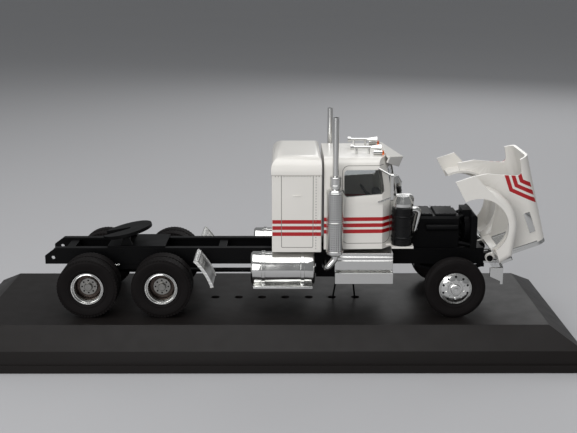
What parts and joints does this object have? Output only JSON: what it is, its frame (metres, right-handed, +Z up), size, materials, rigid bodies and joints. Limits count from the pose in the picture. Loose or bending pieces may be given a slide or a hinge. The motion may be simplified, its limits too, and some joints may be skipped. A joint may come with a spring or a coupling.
{
  "type": "display model of a tractor unit truck on a plinth",
  "caption": "Die-cast style scale model of a long-nose tractor truck with a sleeper, white with red stripes, hood tilting forward, on a bevelled black display plinth",
  "frame": {"origin": "centre of the plinth's underside, on the surface it stands on", "axes": "+X is the truck's forward direction along the plinth, +Y its left, +Z up"},
  "size_m": [0.2626, 0.097, 0.1013],
  "materials": {
    "black_plastic": "satin moulded black",
    "plinth_plastic": "polished black moulding",
    "tie_wire": "black coated wire",
    "white_paint": "gloss warm white enamel with red stripes",
    "interior_plastic": "dark grey moulding",
    "window_glass": "clear moulded panes",
    "amber_lens": "amber translucent lens",
    "lamp_glass": "clear lamp lens over chrome",
    "tyre_rubber": "matt rubber",
    "axle_steel": "drawn rod",
    "chrome": "bright vacuum plating"
  },
  "bodies": {
    "model": {"air_cleaner_caps": "chrome", "air_cleaner_left": "black_plastic", "air_cleaner_right": "black_plastic", "bumper": "chrome", "cab_glass": "window_glass", "cab_interior": "interior_plastic", "cab_pads": "black_plastic", "cab_shell": "white_paint", "cross_members": "black_plastic", "drive_housings": "black_plastic", "engine": "black_plastic", "engine_covers": "black_plastic", "engine_manifolds": "black_plastic", "exhaust_stack_left": "chrome", "exhaust_stack_right": "chrome", "fifth_wheel_base": "black_plastic", "front_axle_beam": "black_plastic", "fuel_tank_left": "chrome", "fuel_tank_right": "chrome", "hinge_brackets": "black_plastic", "intake_pipes": "chrome", "marker_housings": "chrome", "marker_lenses": "amber_lens", "mirrors": "chrome", "mudguard_left": "chrome", "mudguard_right": "chrome", "plinth": "plinth_plastic", "propeller_shafts": "black_plastic", "radiator": "black_plastic", "rail_left": "black_plastic", "rail_right": "black_plastic", "roof_horns": "chrome", "sleeper_body": "white_paint", "sleeper_roof": "white_paint", "steering_wheel": "interior_plastic", "step_box_left": "chrome", "step_box_right": "chrome", "sun_visor": "white_paint", "tandem_suspension": "black_plastic", "tie_wire": "tie_wire"},
    "hood": {"hood_shell": "white_paint", "grille": "chrome", "headlamps": "lamp_glass"},
    "front_axle": {"front_tyre_left": "tyre_rubber", "front_tyre_right": "tyre_rubber", "front_wheels": "chrome", "front_rod": "axle_steel"},
    "drive_axle_front": {"drive_front_tyres_left": "tyre_rubber", "drive_front_tyres_right": "tyre_rubber", "drive_front_wheel_left": "chrome", "drive_front_wheel_right": "chrome", "drive_front_rod": "axle_steel"},
    "drive_axle_rear": {"drive_rear_tyres_left": "tyre_rubber", "drive_rear_tyres_right": "tyre_rubber", "drive_rear_wheel_left": "chrome", "drive_rear_wheel_right": "chrome", "drive_rear_rod": "axle_steel"},
    "fifth_wheel": {"fifth_wheel_plate": "black_plastic"}
  },
  "joints": [
    {"name": "hood_tilt", "type": "hinge", "parent": "model", "child": "hood", "pos_m": [0.0977, 0, 0.03795], "axis": [0, 1, 0], "range_deg": [-70, 0]},
    {"name": "front_axle_spin", "type": "hinge", "parent": "model", "child": "front_axle", "pos_m": [0.08075, 0, 0.02907], "axis": [0, 1, 0], "continuous": true},
    {"name": "drive_axle_front_spin", "type": "hinge", "parent": "model", "child": "drive_axle_front", "pos_m": [-0.0426, 0, 0.02907], "axis": [0, 1, 0], "continuous": true},
    {"name": "drive_axle_rear_spin", "type": "hinge", "parent": "model", "child": "drive_axle_rear", "pos_m": [-0.0736, 0, 0.02907], "axis": [0, 1, 0], "continuous": true},
    {"name": "fifth_wheel_tilt", "type": "hinge", "parent": "model", "child": "fifth_wheel", "pos_m": [-0.0595, 0, 0.04485], "axis": [0, 1, 0], "range_deg": [0, 26]}
  ]
}
